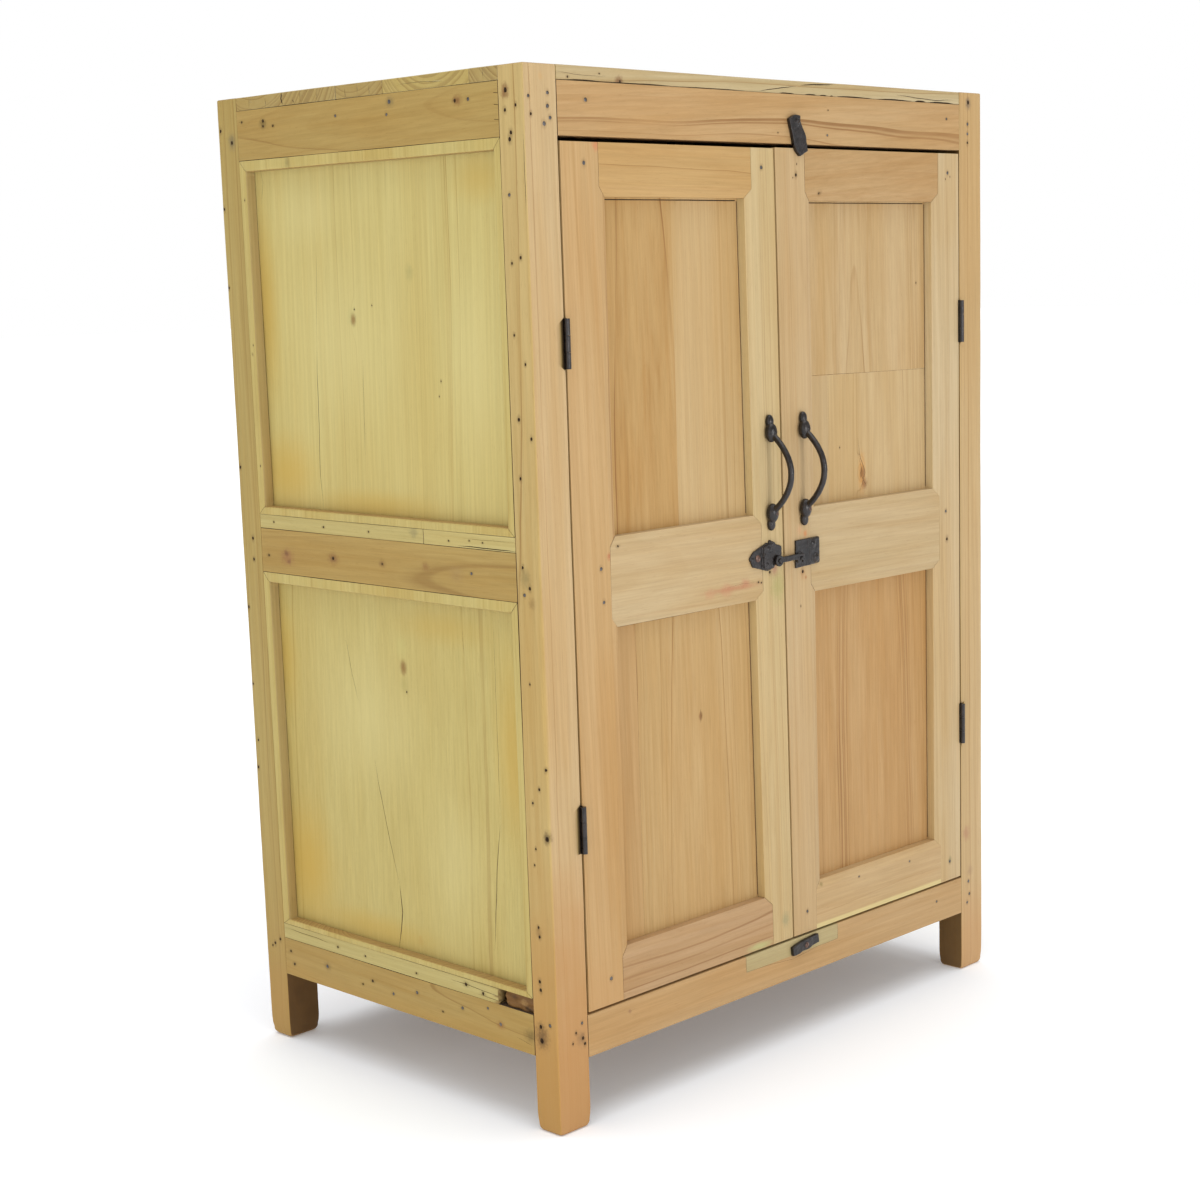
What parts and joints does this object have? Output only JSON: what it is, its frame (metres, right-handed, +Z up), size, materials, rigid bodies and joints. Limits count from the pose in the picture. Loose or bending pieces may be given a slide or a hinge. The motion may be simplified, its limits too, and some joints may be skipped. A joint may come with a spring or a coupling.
{
  "type": "armoire",
  "caption": "Small rustic armoire in stripped pine: corner posts, panelled sides, two framed doors on butt hinges, iron bow pulls, a hook latch and forged turn buttons.",
  "frame": {"origin": "on the ground, under the middle of the bounding box (the pulls included)", "axes": "+Z up; the doors face -Y; +X is to the right of someone who faces the doors"},
  "size_m": [0.829, 0.5914, 1.2],
  "materials": {
    "pine_posts": "bare stripped pine, pinkish tan, soft edges",
    "pine_side_rails": "bare stripped pine, browner and stained",
    "pine_side_panels": "bare stripped pine, pale yellow",
    "pine_doors": "bare stripped pine, tan",
    "pine_door_panels": "bare stripped pine, tan with strong figure",
    "pine_front_rails": "bare stripped pine, tan",
    "pine_top": "bare stripped pine boards with dark end grain",
    "pine_inside": "unfinished darker pine",
    "forged_iron": "dark brown-black forged iron, waxed"
  },
  "bodies": {
    "carcass": {"post_front_left": "pine_posts", "post_front_right": "pine_posts", "post_back_left": "pine_posts", "post_back_right": "pine_posts", "rail_front_top": "pine_front_rails", "rail_front_bottom": "pine_front_rails", "rail_left_top": "pine_side_rails", "rail_left_middle": "pine_side_rails", "rail_left_bottom": "pine_side_rails", "filler_left_middle": "pine_side_panels", "filler_left_bottom": "pine_side_panels", "rail_right_top": "pine_side_rails", "rail_right_middle": "pine_side_rails", "rail_right_bottom": "pine_side_rails", "panel_left_upper": "pine_side_panels", "panel_left_lower": "pine_side_panels", "panel_right_upper": "pine_side_panels", "panel_right_lower": "pine_side_panels", "moulding_left_upper": "pine_side_panels", "moulding_left_lower": "pine_side_panels", "moulding_right_upper": "pine_side_panels", "moulding_right_lower": "pine_side_panels", "top_board_1": "pine_top", "top_board_2": "pine_top", "top_board_3": "pine_top", "top_board_4": "pine_top", "back_board_1": "pine_inside", "back_board_2": "pine_inside", "back_board_3": "pine_inside", "shelf": "pine_inside", "floor_board": "pine_inside", "hinge_left_upper_post_leaf": "forged_iron", "hinge_left_lower_post_leaf": "forged_iron", "hinge_right_upper_post_leaf": "forged_iron", "hinge_right_lower_post_leaf": "forged_iron"},
    "left_door": {"door_left_hinge_stile": "pine_doors", "door_left_meeting_stile": "pine_doors", "door_left_top_rail": "pine_doors", "door_left_middle_rail": "pine_doors", "door_left_bottom_rail": "pine_doors", "door_left_upper_panel": "pine_door_panels", "door_left_lower_panel": "pine_door_panels", "hinge_left_upper_door_leaf": "forged_iron", "hinge_left_lower_door_leaf": "forged_iron", "handle_left": "forged_iron", "latch_plate": "forged_iron"},
    "right_door": {"door_right_hinge_stile": "pine_doors", "door_right_meeting_stile": "pine_doors", "door_right_top_rail": "pine_doors", "door_right_middle_rail": "pine_doors", "door_right_bottom_rail": "pine_doors", "door_right_upper_panel": "pine_door_panels", "door_right_lower_panel": "pine_door_panels", "hinge_right_upper_door_leaf": "forged_iron", "hinge_right_lower_door_leaf": "forged_iron", "handle_right": "forged_iron", "latch_keeper": "forged_iron"},
    "latch_hook": {"latch_hook": "forged_iron"},
    "turn_button_top": {"turn_button_top": "forged_iron"},
    "turn_button_bottom": {"turn_button_bottom": "forged_iron"}
  },
  "joints": [
    {"name": "left_door_hinge", "type": "hinge", "parent": "carcass", "child": "left_door", "pos_m": [-0.365, -0.25985, 0.629], "axis": [0, 0, -1], "range_deg": [0, 170]},
    {"name": "right_door_hinge", "type": "hinge", "parent": "carcass", "child": "right_door", "pos_m": [0.365, -0.25985, 0.629], "axis": [0, 0, 1], "range_deg": [0, 170]},
    {"name": "latch_hook_pivot", "type": "hinge", "parent": "left_door", "child": "latch_hook", "pos_m": [-0.021, -0.26365, 0.625], "axis": [0, -1, 0], "range_deg": [0, 75]},
    {"name": "turn_button_top_pivot", "type": "hinge", "parent": "carcass", "child": "turn_button_top", "pos_m": [0.0295, -0.25915, 1.151], "axis": [0, -1, 0], "continuous": true},
    {"name": "turn_button_bottom_pivot", "type": "hinge", "parent": "carcass", "child": "turn_button_bottom", "pos_m": [0.0215, -0.25915, 0.1238], "axis": [0, -1, 0], "continuous": true}
  ]
}
